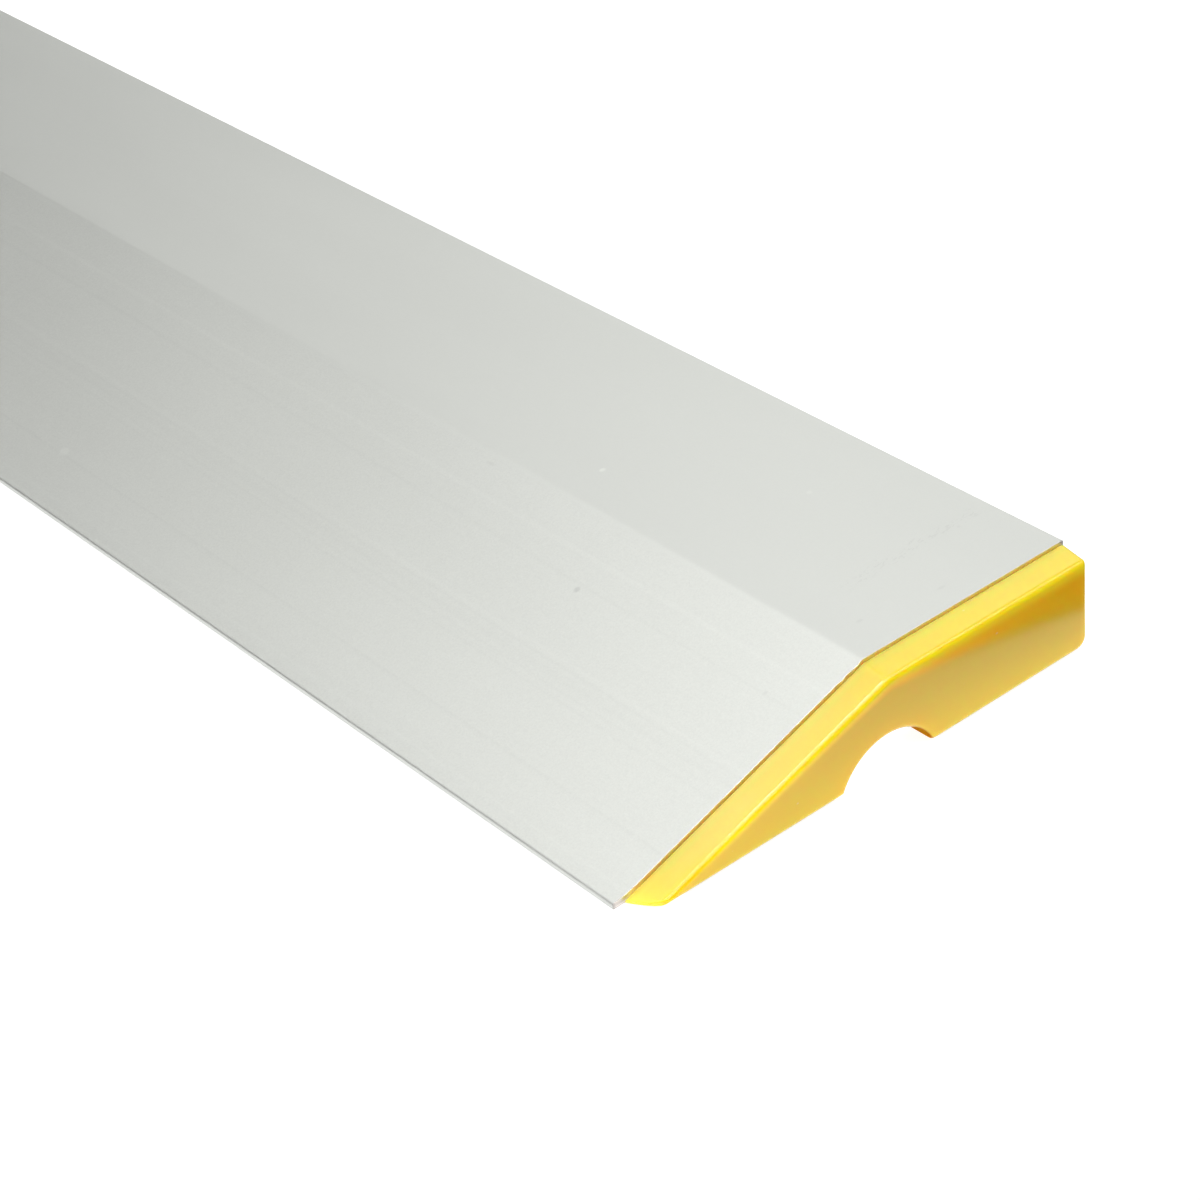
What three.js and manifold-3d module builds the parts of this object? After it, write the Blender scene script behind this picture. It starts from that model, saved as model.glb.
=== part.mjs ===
// Feather-edge screed: a hollow trapezoidal aluminium extrusion with a push-in
// moulded cap in each end.
//
// Frame: millimetres, origin at the centre of the underside, +X along the
// length, -Y towards the feather edge, +Y towards the spine, +Z up.
// Sections are drawn in (w, z): w is measured from the feather edge towards
// the spine, so y = w - WIDTH / 2, and z is measured up from the underside.

import * as THREE from "three";
import { mergeVertices } from "three/addons/utils/BufferGeometryUtils.js";
import Module from "manifold-3d";

// ---------------------------------------------------------------- dimensions
const LENGTH = 1200; // extrusion, between its two saw cuts
const WIDTH = 100; // feather edge to spine
const HEIGHT = 18.66; // underside to flat top
const RIDGE_W = 53.9; // where the slope meets the flat top
const RIDGE_R = 5.0; // rounding of that ridge
const SLOPE_W = 5.68; // a point low on the slope
const SLOPE_Z = 2.32;
const NOSE_H = 1.2; // thickness of the feather edge,
const NOSE_R = 0.6; // its rounded nose,
const NOSE_FOOT_R = 0.14; // and the corner under it
const SPINE_R = 0.2; // outer corners at the spine
const WALL = 1.5; // wall of the extrusion
const WEB = 1.6; // upright webs inside it
const INNER_R = 0.8; // fillets in the corners of the chambers

const GROOVE_W = 53.4; // finger groove along the underside: centre,
const GROOVE_Z = -3.99; // height of the centre of its arc,
const GROOVE_R = 10.6; // and radius of its arc
const GROOVE_LIP = 0.5; // rounding of its two edges

const GAP = 0.3; // between the saw cut and the cap's flange
const FLANGE = 5.8; // outer face of the cap beyond the saw cut
const RIM_INSET = 0.45; // cap's rim below the top and the slope
const SPINE_INSET = 0.05; // and inside the spine
const BASE_INSET = 0.35; // cap's foot above the underside
const DRAFT = 0.52; // lean of the rim over its width,
const SPINE_DRAFT = 0.4; // and at the spine
const FACE_R = 1.0; // rounding between the rim and the outer face,
const SPINE_FACE_R = 0.9; // at the spine,
const FOOT_FACE_R = 1.0; // and along the foot and the notch
const CAP_SPINE_R = 0.85; // cap's upper corner at the spine
const CAP_FOOT_R = 1.85; // and its lower one
const CAP_GROOVE_R = 10.72; // the cap's notch, in line with the groove
const NOTCH_LIP_FRONT = 0.3; // rounding of the notch's two feet
const NOTCH_LIP_REAR = 1.0;
const CAP_TIP = 2.1; // the cap starts this far behind the feather edge

const PLUG = 22; // length of the tongues inside the chambers
const PLUG_WALL = 1.6; // their wall
const PLUG_CLEAR = 0.65; // their clearance to the chamber
const RIB_CLEAR = 0.3; // clearance of the grip ribs on them
const RIB_WIDE = 1.2;
const PLUG_LEAD = 0.5; // step in at the open end of each tongue,
const PLUG_LEAD_LONG = 3; // and its length

const ARC = 10; // segments in a small fillet

// ------------------------------------------------------------------ outlines
// A closed outline from corners [w, z, radius], each corner rounded by a
// tangent arc; returns an array of Vector2 without a repeated last point.
function rounded(corners, steps = ARC) {
  const out = [];
  const n = corners.length;
  for (let i = 0; i < n; i++) {
    const p = new THREE.Vector2(corners[i][0], corners[i][1]);
    const r = corners[i][2] || 0;
    if (r <= 0) {
      out.push(p);
      continue;
    }
    const a = new THREE.Vector2(...corners[(i + n - 1) % n].slice(0, 2));
    const b = new THREE.Vector2(...corners[(i + 1) % n].slice(0, 2));
    const u = a.clone().sub(p).normalize();
    const v = b.clone().sub(p).normalize();
    const half = Math.acos(THREE.MathUtils.clamp(u.dot(v), -1, 1)) / 2;
    const run = r / Math.tan(half);
    const s = p.clone().addScaledVector(u, run);
    const e = p.clone().addScaledVector(v, run);
    const c = p
      .clone()
      .addScaledVector(u.clone().add(v).normalize(), r / Math.sin(half));
    const a0 = Math.atan2(s.y - c.y, s.x - c.x);
    let turn = Math.atan2(e.y - c.y, e.x - c.x) - a0;
    while (turn > Math.PI) turn -= 2 * Math.PI;
    while (turn < -Math.PI) turn += 2 * Math.PI;
    const k = Math.max(2, Math.round((steps * Math.abs(turn)) / (Math.PI / 2)));
    for (let j = 0; j <= k; j++) {
      const t = a0 + (turn * j) / k;
      out.push(new THREE.Vector2(c.x + r * Math.cos(t), c.y + r * Math.sin(t)));
    }
  }
  return out;
}

const slopeGrade = (HEIGHT - SLOPE_Z) / (RIDGE_W - SLOPE_W);
const slopeAngle = Math.atan(slopeGrade);
// Height of the slope at w, moved in by a distance square to it.
const slopeZ = (w, inset = 0) =>
  SLOPE_Z + (w - SLOPE_W) * slopeGrade - inset / Math.cos(slopeAngle);
// Where that line reaches height z.
const slopeAt = (z, inset = 0) =>
  SLOPE_W + (z - SLOPE_Z + inset / Math.cos(slopeAngle)) / slopeGrade;

// The groove's arc from angle to angle about its centre, as points.
function grooveArc(radius, fromW, toW, steps = 26) {
  const a0 = Math.acos((fromW - GROOVE_W) / radius);
  const a1 = Math.acos((toW - GROOVE_W) / radius);
  const out = [];
  for (let i = 0; i <= steps; i++) {
    const a = a0 + ((a1 - a0) * i) / steps;
    out.push([
      GROOVE_W + radius * Math.cos(a),
      GROOVE_Z + radius * Math.sin(a),
      0,
    ]);
  }
  return out;
}
// Half width of the groove at height z.
const grooveHalf = (radius, z = 0) =>
  Math.sqrt(radius * radius - (z - GROOVE_Z) * (z - GROOVE_Z));

// Arc of the groove between its two rounded edges at height z0.
function grooveEdge(radius, z0, front, rear) {
  // Edge fillets of radius front and rear, tangent to the line z = z0 and to
  // the arc from outside: each centre is that far above z0 and that much more
  // than radius from the arc's centre.
  const corner = (lip) => {
    const cz = z0 + lip;
    const dx = Math.sqrt((radius + lip) ** 2 - (cz - GROOVE_Z) ** 2);
    return { lip, cz, dx, touch: Math.atan2(cz - GROOVE_Z, dx) };
  };
  const f = corner(front);
  const r = corner(rear);
  const pts = [];
  const k = 5;
  for (let i = 0; i <= k; i++) {
    const a = -Math.PI / 2 + ((Math.PI / 2 - f.touch) * i) / k;
    pts.push([GROOVE_W - f.dx + f.lip * Math.cos(a), f.cz + f.lip * Math.sin(a), 0]);
  }
  const steps = 24;
  for (let i = 1; i < steps; i++) {
    const a = Math.PI - f.touch - ((Math.PI - f.touch - r.touch) * i) / steps;
    pts.push([GROOVE_W + radius * Math.cos(a), GROOVE_Z + radius * Math.sin(a), 0]);
  }
  for (let i = k; i >= 0; i--) {
    const a = -Math.PI / 2 + ((Math.PI / 2 - r.touch) * i) / k;
    pts.push([GROOVE_W + r.dx - r.lip * Math.cos(a), r.cz + r.lip * Math.sin(a), 0]);
  }
  return pts;
}

// Outer outline of the extrusion, anticlockwise with w to the right.
function profileOutline() {
  const toe = [];
  // The slope flattens over its last few millimetres into a rounded nose.
  const curve = new THREE.QuadraticBezierCurve(
    new THREE.Vector2(SLOPE_W, SLOPE_Z),
    new THREE.Vector2(2.9, slopeZ(2.9)),
    new THREE.Vector2(NOSE_R + 0.06, NOSE_H - 0.01),
  );
  for (const p of curve.getPoints(8)) toe.push([p.x, p.y, 0]);
  for (let i = 1; i <= 6; i++) {
    const a = (Math.PI / 2) * (1 + i / 6);
    toe.push([
      NOSE_R + 0.02 + NOSE_R * Math.cos(a),
      NOSE_H - NOSE_R - 0.01 + NOSE_R * Math.sin(a),
      0,
    ]);
  }
  return rounded([
    [0, 0, NOSE_FOOT_R],
    ...grooveEdge(GROOVE_R, 0, GROOVE_LIP, GROOVE_LIP),
    [WIDTH, 0, SPINE_R],
    [WIDTH, HEIGHT, SPINE_R],
    [RIDGE_W, HEIGHT, RIDGE_R],
    ...toe,
    [0, 0.42, 0],
  ]);
}

// The three chambers of the extrusion, each moved in by a clearance.
const webA = GROOVE_W - grooveHalf(GROOVE_R) - 0.6; // foot of the front web
const webB = GROOVE_W + grooveHalf(GROOVE_R) + 0.6; // foot of the rear web
const chamberTop = HEIGHT - WALL;

function frontChamber(m = 0) {
  const z0 = WALL + m;
  const right = webA - WEB - m;
  const tip = slopeAt(z0 + 0.9, WALL + m);
  const r = Math.max(0.2, INNER_R - m / 2);
  return rounded(
    [
      [tip, z0, 0.25],
      [right, z0, r],
      [right, slopeZ(right, WALL + m), r],
      [tip, z0 + 0.9, 0.25],
    ],
    6,
  );
}

function middleChamber(m = 0) {
  const top = chamberTop - m;
  const left = webA + m;
  const right = webB - m;
  const R = GROOVE_R + WALL + m;
  const floor = WALL + m;
  const r = Math.max(0.2, INNER_R - m / 2);
  const half = Math.min(grooveHalf(R, floor), GROOVE_W - left - 0.02);
  const arcHalf = Math.min(half, (right - left) / 2 - 0.02);
  const zFoot = GROOVE_Z + Math.sqrt(R * R - arcHalf * arcHalf);
  const ridge = slopeAt(top, WALL + m);
  const pts = [];
  pts.push([left, zFoot, 0]);
  for (const p of grooveArc(R, GROOVE_W - arcHalf, GROOVE_W + arcHalf, 22))
    pts.push(p);
  pts.push([right, zFoot, 0]);
  pts.push([right, top, r]);
  pts.push([ridge, top, 2.5]);
  pts.push([left, slopeZ(left, WALL + m), r]);
  return rounded(pts, 6);
}

function rearChamber(m = 0) {
  const r = Math.max(0.2, INNER_R - m / 2);
  return rounded(
    [
      [webB + WEB + m, WALL + m, r],
      [WIDTH - WALL - m, WALL + m, r],
      [WIDTH - WALL - m, chamberTop - m, r],
      [webB + WEB + m, chamberTop - m, r],
    ],
    6,
  );
}

// -------------------------------------------------------------------- solids
// Shape in (w, z) extruded from x0 to x1.
const AXES = new THREE.Matrix4().makeBasis(
  new THREE.Vector3(0, 1, 0),
  new THREE.Vector3(0, 0, 1),
  new THREE.Vector3(1, 0, 0),
);
function along(outline, holes, x0, x1, extra = {}) {
  const shape = new THREE.Shape(outline);
  for (const h of holes) shape.holes.push(new THREE.Path(h));
  const g = new THREE.ExtrudeGeometry(shape, {
    depth: x1 - x0,
    bevelEnabled: false,
    curveSegments: 4,
    ...extra,
  });
  g.translate(-WIDTH / 2, 0, 0);
  g.applyMatrix4(AXES);
  g.translate(x0, 0, 0);
  return g;
}

const wasm = await Module();
wasm.setup();

function toSolid(geometry) {
  const g = geometry.clone();
  g.deleteAttribute("normal");
  g.deleteAttribute("uv");
  const merged = mergeVertices(g, 1e-4);
  return new wasm.Manifold(
    new wasm.Mesh({
      numProp: 3,
      vertProperties: new Float32Array(merged.attributes.position.array),
      triVerts: new Uint32Array(merged.index.array),
    }),
  );
}

function toGeometry(solid) {
  const mesh = solid.getMesh();
  const g = new THREE.BufferGeometry();
  const xyz = new Float32Array(mesh.numVert * 3);
  for (let i = 0; i < mesh.numVert; i++)
    for (let k = 0; k < 3; k++)
      xyz[i * 3 + k] = mesh.vertProperties[i * mesh.numProp + k];
  g.setAttribute("position", new THREE.BufferAttribute(xyz, 3));
  g.setIndex(new THREE.BufferAttribute(new Uint32Array(mesh.triVerts), 1));
  g.computeVertexNormals();
  return g;
}

function mirrored(geometry) {
  const g = geometry.clone();
  g.applyMatrix4(new THREE.Matrix4().makeScale(-1, 1, 1));
  const idx = g.index.array;
  for (let i = 0; i < idx.length; i += 3)
    [idx[i + 1], idx[i + 2]] = [idx[i + 2], idx[i + 1]];
  g.computeVertexNormals();
  return g;
}

// Extrusion.
const profileGeometry = along(
  profileOutline(),
  [frontChamber(), middleChamber(), rearChamber()],
  -LENGTH / 2,
  LENGTH / 2,
);

// Cap: rounded flange, its front end swept back, and three hollow tongues.
// Outline of the flange, moved in at the top and slope, spine and foot.
function capOutline(top, spine, foot) {
  const z1 = HEIGHT - RIM_INSET - top;
  const w1 = WIDTH - SPINE_INSET - spine;
  const z0 = BASE_INSET + foot;
  const tip = Math.max(CAP_TIP - 0.6, slopeAt(z0 + 0.25, RIM_INSET + top));
  return rounded(
    [
      [tip, z0, 0],
      ...grooveEdge(CAP_GROOVE_R + foot, z0, NOTCH_LIP_FRONT, NOTCH_LIP_REAR),
      [w1, z0, CAP_FOOT_R],
      [w1, z1, CAP_SPINE_R],
      [slopeAt(z1, RIM_INSET + top), z1, RIDGE_R],
      [tip, slopeZ(tip, RIM_INSET + top), 0],
    ],
    8,
  );
}

// A solid through outlines of equal point counts, [x, points] in order of x.
function loft(sections) {
  const n = sections[0][1].length;
  const xyz = [];
  const idx = [];
  for (const [x, pts] of sections)
    for (const p of pts) xyz.push(x, p.x - WIDTH / 2, p.y);
  for (let s = 0; s + 1 < sections.length; s++)
    for (let i = 0; i < n; i++) {
      const j = (i + 1) % n;
      const a = s * n + i;
      const b = s * n + j;
      idx.push(a, b, b + n, a, b + n, a + n);
    }
  const close = (pts, base, out) => {
    for (const [a, b, c] of THREE.ShapeUtils.triangulateShape(pts, []))
      idx.push(base + a, base + (out ? b : c), base + (out ? c : b));
  };
  close(sections[0][1], 0, false);
  close(sections[sections.length - 1][1], (sections.length - 1) * n, true);
  const g = new THREE.BufferGeometry();
  g.setAttribute("position", new THREE.Float32BufferAttribute(xyz, 3));
  g.setIndex(idx);
  return g;
}

// A hollow tongue in a chamber, from its open end at x0 to the flange.
function tongue(chamber, x0, back) {
  const outer = along(chamber(PLUG_CLEAR), [], x0 + PLUG_LEAD_LONG, back + 0.2);
  const lead = along(chamber(PLUG_CLEAR + PLUG_LEAD), [], x0, x0 + PLUG_LEAD_LONG + 1);
  const inner = along(chamber(PLUG_CLEAR + PLUG_WALL), [], x0 - 1, LENGTH / 2 - 1);
  return toSolid(outer).add(toSolid(lead)).subtract(toSolid(inner));
}

// A straight grip rib, a box from corner to corner in (w, z).
function rib(w0, w1, z0, z1, x0, x1) {
  const g = new THREE.BoxGeometry(x1 - x0, w1 - w0, z1 - z0);
  g.translate((x0 + x1) / 2, (w0 + w1) / 2 - WIDTH / 2, (z0 + z1) / 2);
  return toSolid(g);
}

function capGeometry() {
  const face = LENGTH / 2 + FLANGE;
  const back = LENGTH / 2 + GAP;
  // The rim leans in by DRAFT, then rounds over into the outer face.
  const sections = [];
  const at = (x, lean, turn) => {
    const k = 1 - Math.cos(turn);
    sections.push([
      x,
      capOutline(
        DRAFT * lean + FACE_R * k,
        SPINE_DRAFT * lean + SPINE_FACE_R * k,
        FOOT_FACE_R * k,
      ),
    ]);
  };
  at(back, 0, 0);
  at(face - FACE_R, 1, 0);
  for (let i = 1; i <= 6; i++) {
    const turn = (Math.PI / 2) * (i / 6);
    at(face - FACE_R + FACE_R * Math.sin(turn), 1, turn);
  }
  const blank = loft(sections);
  // Plan outline of the flange, in (x, w): square at the spine, and swept back
  // in a curve at the feather edge.
  const plan = new THREE.Shape();
  plan.moveTo(back, WIDTH + 5);
  plan.lineTo(back, CAP_TIP);
  plan.lineTo(LENGTH / 2 + 0.5, CAP_TIP);
  plan.bezierCurveTo(
    LENGTH / 2 + 2.6,
    CAP_TIP + 1.3,
    face - 0.08,
    CAP_TIP + 2.8,
    face,
    CAP_TIP + 5.5,
  );
  plan.lineTo(face + 1, CAP_TIP + 5.5);
  plan.lineTo(face + 1, WIDTH + 5);
  plan.closePath();
  const keep = new THREE.ExtrudeGeometry(plan, {
    depth: HEIGHT + 20,
    bevelEnabled: false,
    curveSegments: 10,
  });
  keep.translate(0, -WIDTH / 2, -10);
  let solid = toSolid(blank).intersect(toSolid(keep));

  const x0 = LENGTH / 2 - PLUG;
  for (const chamber of [frontChamber, middleChamber, rearChamber])
    solid = solid.add(tongue(chamber, x0, back));

  // Grip ribs on the tongues, above and below in the rear chamber and below in
  // the front one.
  const r0 = x0 + PLUG_LEAD_LONG + 1.5;
  const r1 = back + 0.2;
  const sink = PLUG_CLEAR + 0.5;
  for (const w of [72, 82, 92]) {
    solid = solid.add(rib(w, w + RIB_WIDE, WALL + RIB_CLEAR, WALL + sink, r0, r1));
    solid = solid.add(
      rib(w, w + RIB_WIDE, chamberTop - sink, chamberTop - RIB_CLEAR, r0, r1),
    );
  }
  for (const w of [20, 30])
    solid = solid.add(rib(w, w + RIB_WIDE, WALL + RIB_CLEAR, WALL + sink, r0, r1));
  solid = solid.add(
    rib(GROOVE_W + 2, GROOVE_W + 2 + RIB_WIDE, chamberTop - sink, chamberTop - RIB_CLEAR, r0, r1),
  );
  return toGeometry(solid);
}

// --------------------------------------------------------------------- scene
const aluminium = new THREE.MeshStandardMaterial({
  name: "mill_aluminium",
  color: 0xc4c5c0,
  roughness: 0.42,
  metalness: 0.9,
});
const plastic = new THREE.MeshStandardMaterial({
  name: "yellow_plastic",
  color: 0xf2c81e,
  roughness: 0.3,
  metalness: 0.0,
});

const screed = new THREE.Group();

const profile = new THREE.Mesh(profileGeometry, aluminium);
profile.name = "screed_profile";
screed.add(profile);

const cap = capGeometry();
const capRight = new THREE.Mesh(cap, plastic);
capRight.name = "end_cap_right";
screed.add(capRight);

const capLeft = new THREE.Mesh(mirrored(cap), plastic);
capLeft.name = "end_cap_left";
screed.add(capLeft);

export default screed;
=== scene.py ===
import math

import bmesh
import bpy
import numpy as np
from mathutils import Matrix, Vector, noise


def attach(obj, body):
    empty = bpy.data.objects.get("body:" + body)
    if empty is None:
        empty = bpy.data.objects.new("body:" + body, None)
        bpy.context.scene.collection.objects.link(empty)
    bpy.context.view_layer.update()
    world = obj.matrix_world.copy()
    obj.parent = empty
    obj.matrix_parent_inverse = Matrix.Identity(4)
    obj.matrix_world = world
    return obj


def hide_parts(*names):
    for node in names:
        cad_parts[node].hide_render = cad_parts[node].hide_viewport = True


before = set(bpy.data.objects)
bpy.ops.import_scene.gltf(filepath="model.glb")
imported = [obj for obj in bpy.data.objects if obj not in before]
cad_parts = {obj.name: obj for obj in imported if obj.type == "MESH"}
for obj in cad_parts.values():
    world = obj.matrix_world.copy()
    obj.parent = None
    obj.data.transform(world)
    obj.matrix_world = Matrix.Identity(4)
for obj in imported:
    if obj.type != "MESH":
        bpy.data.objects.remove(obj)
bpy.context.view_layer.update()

# ------------------------------------------------------------------ sizes (mm)
HALF = 600.0  # half the extrusion's length
WIDTH = 100.0
HEIGHT = 18.66
RIDGE_W = 53.9
RIDGE_R = 2.5
SLOPE_W, SLOPE_Z = 5.68, 2.32
SPINE_R = 0.2
WALL, WEB, INNER_R = 1.5, 1.6, 0.8
GROOVE_W, GROOVE_Z, GROOVE_R, GROOVE_LIP = 53.4, -3.99, 10.6, 0.5
GAP = 0.2
FLANGE = 5.8
RIM_INSET, SPINE_INSET = 0.45, 0.05
BASE_INSET = 0.35
DRAFT, SPINE_DRAFT = 0.52, 0.4
FACE_R, SPINE_FACE_R, FOOT_FACE_R = 1.0, 0.9, 1.0
PLASTIC = (0.77, 0.585, 0.06)
CAP_SPINE_R, CAP_FOOT_R = 0.85, 1.85
CAP_GROOVE_R, NOTCH_LIP_FRONT, NOTCH_LIP_REAR = 10.72, 0.3, 1.0
CAP_TIP = 2.1
PLUG, PLUG_WALL, PLUG_CLEAR, RIB_CLEAR, RIB_WIDE = 22.0, 1.6, 0.65, 0.3, 1.2
PLUG_LEAD, PLUG_LEAD_LONG = 0.5, 3.0

GRADE = (HEIGHT - SLOPE_Z) / (RIDGE_W - SLOPE_W)
TILT = math.atan(GRADE)


def slope_z(w, inset=0.0):
    return SLOPE_Z + (w - SLOPE_W) * GRADE - inset / math.cos(TILT)


def slope_at(z, inset=0.0):
    return SLOPE_W + (z - SLOPE_Z + inset / math.cos(TILT)) / GRADE


# ------------------------------------------------------------------- outlines
def rounded(corners, quarter=12):
    """Points of a closed outline whose corners (w, z, radius) are rounded."""
    out = []
    n = len(corners)
    for i in range(n):
        p = np.array(corners[i][:2], float)
        r = corners[i][2] if len(corners[i]) > 2 else 0.0
        if r <= 0:
            out.append(p)
            continue
        u = np.array(corners[i - 1][:2], float) - p
        v = np.array(corners[(i + 1) % n][:2], float) - p
        u /= np.linalg.norm(u)
        v /= np.linalg.norm(v)
        half = math.acos(max(-1, min(1, float(u @ v)))) / 2
        run = r / math.tan(half)
        s, e = p + u * run, p + v * run
        m = u + v
        c = p + m / np.linalg.norm(m) * (r / math.sin(half))
        a0 = math.atan2(*(s - c)[::-1])
        turn = math.atan2(*(e - c)[::-1]) - a0
        turn = (turn + math.pi) % (2 * math.pi) - math.pi
        k = max(3, round(quarter * abs(turn) / (math.pi / 2)))
        for j in range(k + 1):
            t = a0 + turn * j / k
            out.append(c + r * np.array([math.cos(t), math.sin(t)]))
    return np.array(out)


def groove_edge(radius, z0, front, rear, k=6, steps=40):
    """The groove's arc between its two rounded edges on the line z = z0."""

    def corner(lip):
        cz = z0 + lip
        dx = math.sqrt((radius + lip) ** 2 - (cz - GROOVE_Z) ** 2)
        return cz, dx, math.atan2(cz - GROOVE_Z, dx)

    fz, fx, ft = corner(front)
    rz, rx, rt = corner(rear)
    left, arc, right = [], [], []
    for i in range(k + 1):
        a = -math.pi / 2 + (math.pi / 2 - ft) * i / k
        left.append((GROOVE_W - fx + front * math.cos(a), fz + front * math.sin(a), 0))
        a = -math.pi / 2 + (math.pi / 2 - rt) * i / k
        right.append((GROOVE_W + rx - rear * math.cos(a), rz + rear * math.sin(a), 0))
    for i in range(1, steps):
        a = math.pi - ft - (math.pi - ft - rt) * i / steps
        arc.append((GROOVE_W + radius * math.cos(a), GROOVE_Z + radius * math.sin(a), 0))
    return left + arc + right[::-1]


def spaced(points, most):
    """The outline with extra points so that no step is longer than most."""
    out = []
    n = len(points)
    for i in range(n):
        a, b = points[i], points[(i + 1) % n]
        k = max(1, math.ceil(np.linalg.norm(b - a) / most))
        for j in range(k):
            out.append(a + (b - a) * j / k)
    return np.array(out)


def outward(points):
    """Outward unit normal at each point of an anticlockwise outline."""
    a = np.roll(points, 1, 0)
    b = np.roll(points, -1, 0)
    d1, d2 = points - a, b - points
    d1 /= np.linalg.norm(d1, axis=1)[:, None]
    d2 /= np.linalg.norm(d2, axis=1)[:, None]
    t = d1 + d2
    t /= np.linalg.norm(t, axis=1)[:, None]
    return np.stack([t[:, 1], -t[:, 0]], 1)


def half_groove(radius, z=0.0):
    return math.sqrt(radius * radius - (z - GROOVE_Z) ** 2)


WEB_A = GROOVE_W - half_groove(GROOVE_R) - 0.6
WEB_B = GROOVE_W + half_groove(GROOVE_R) + 0.6
TOP_IN = HEIGHT - WALL


def profile_outline():
    toe = []
    p0, p1, p2 = (
        np.array([SLOPE_W, SLOPE_Z]),
        np.array([2.9, slope_z(2.9)]),
        np.array([0.66, 1.19]),
    )
    for i in range(13):
        t = i / 12
        q = (1 - t) ** 2 * p0 + 2 * t * (1 - t) * p1 + t * t * p2
        toe.append((q[0], q[1], 0))
    for i in range(1, 10):
        a = math.pi / 2 * (1 + i / 9)
        toe.append((0.62 + 0.60 * math.cos(a), 0.59 + 0.60 * math.sin(a), 0))
    return rounded(
        [
            (0.0, 0.0, 0.14),
            *groove_edge(GROOVE_R, 0, GROOVE_LIP, GROOVE_LIP),
            (WIDTH, 0, SPINE_R),
            (WIDTH, HEIGHT, SPINE_R),
            (RIDGE_W, HEIGHT, RIDGE_R),
            *toe,
            (0.0, 0.42, 0),
        ],
        14,
    )


def front_chamber(m=0.0):
    z0 = WALL + m
    right = WEB_A - WEB - m
    tip = slope_at(z0 + 0.9, WALL + m)
    r = max(0.2, INNER_R - m / 2)
    return rounded(
        [
            (tip, z0, 0.25),
            (right, z0, r),
            (right, slope_z(right, WALL + m), r),
            (tip, z0 + 0.9, 0.25),
        ],
        6,
    )


def middle_chamber(m=0.0):
    top = TOP_IN - m
    left, right = WEB_A + m, WEB_B - m
    R = GROOVE_R + WALL + m
    floor = WALL + m
    r = max(0.2, INNER_R - m / 2)
    half = min(half_groove(R, floor), GROOVE_W - left - 0.02, (right - left) / 2 - 0.02)
    foot = GROOVE_Z + math.sqrt(R * R - half * half)
    a0 = math.acos(-half / R)
    a1 = math.acos(half / R)
    arc = []
    for i in range(23):
        a = a0 + (a1 - a0) * i / 22
        arc.append((GROOVE_W + R * math.cos(a), GROOVE_Z + R * math.sin(a), 0))
    return rounded(
        [
            (left, foot, 0),
            *arc,
            (right, foot, 0),
            (right, top, r),
            (slope_at(top, WALL + m), top, 2.5),
            (left, slope_z(left, WALL + m), r),
        ],
        6,
    )


def rear_chamber(m=0.0):
    r = max(0.2, INNER_R - m / 2)
    return rounded(
        [
            (WEB_B + WEB + m, WALL + m, r),
            (WIDTH - WALL - m, WALL + m, r),
            (WIDTH - WALL - m, TOP_IN - m, r),
            (WEB_B + WEB + m, TOP_IN - m, r),
        ],
        6,
    )


# ------------------------------------------------------------- mesh assembling
def point(x, w, z):
    return Vector((x * 0.001, (w - WIDTH / 2) * 0.001, z * 0.001))


class Builder:
    """Collects rings of points, walls between them and flat ends."""

    def __init__(self):
        self.bm = bmesh.new()

    def ring(self, xs, points):
        if not hasattr(xs, "__len__"):
            xs = [xs] * len(points)
        return [self.bm.verts.new(point(x, p[0], p[1])) for x, p in zip(xs, points)]

    def wall(self, a, b, flip=False):
        """Quads between two rings of one length; a is the one at lower x."""
        n = len(a)
        for i in range(n):
            j = (i + 1) % n
            q = [a[i], a[j], b[j], b[i]]
            self.bm.faces.new(q[::-1] if flip else q)

    def flat(self, loops, facing):
        """Fills the plane region between loops, with its faces towards facing."""
        edges = []
        for loop in loops:
            n = len(loop)
            for i in range(n):
                a, b = loop[i], loop[(i + 1) % n]
                e = self.bm.edges.get((a, b)) or self.bm.edges.new((a, b))
                edges.append(e)
        if len(loops) == 1:
            f = self.bm.faces.new(loops[0])
            f.normal_update()
            if f.normal.dot(facing) < 0:
                f.normal_flip()
            return [f]
        made = bmesh.ops.triangle_fill(
            self.bm, use_beauty=True, use_dissolve=False, edges=edges
        )
        faces = [g for g in made["geom"] if isinstance(g, bmesh.types.BMFace)]
        for f in faces:
            f.normal_update()
            if f.normal.dot(facing) < 0:
                f.normal_flip()
        return faces

    def finish(self, name, sharp=34.0):
        bm = self.bm
        bmesh.ops.remove_doubles(bm, verts=bm.verts, dist=1e-7)
        bm.normal_update()
        limit = math.radians(sharp)
        for e in bm.edges:
            if len(e.link_faces) == 2:
                e.smooth = e.calc_face_angle(0.0) < limit
            else:
                print("OPEN EDGE", name, len(e.link_faces), [v.co[:] for v in e.verts])
        for f in bm.faces:
            f.smooth = True
        me = bpy.data.meshes.new(name)
        bm.to_mesh(me)
        bm.free()
        o = bpy.data.objects.new(name, me)
        bpy.context.scene.collection.objects.link(o)
        m = o.modifiers.new("even_normals", "WEIGHTED_NORMAL")
        m.keep_sharp = True
        m.weight = 60
        m.mode = "FACE_AREA"
        return o


def flipped(o, name):
    """A mirror image of a piece across the middle of the length."""
    me = o.data.copy()
    me.name = name
    me.transform(Matrix.Scale(-1, 4, (1, 0, 0)))
    me.flip_normals()
    c = bpy.data.objects.new(name, me)
    bpy.context.scene.collection.objects.link(c)
    m = c.modifiers.new("even_normals", "WEIGHTED_NORMAL")
    m.keep_sharp = True
    m.weight = 60
    m.mode = "FACE_AREA"
    return c


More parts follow.
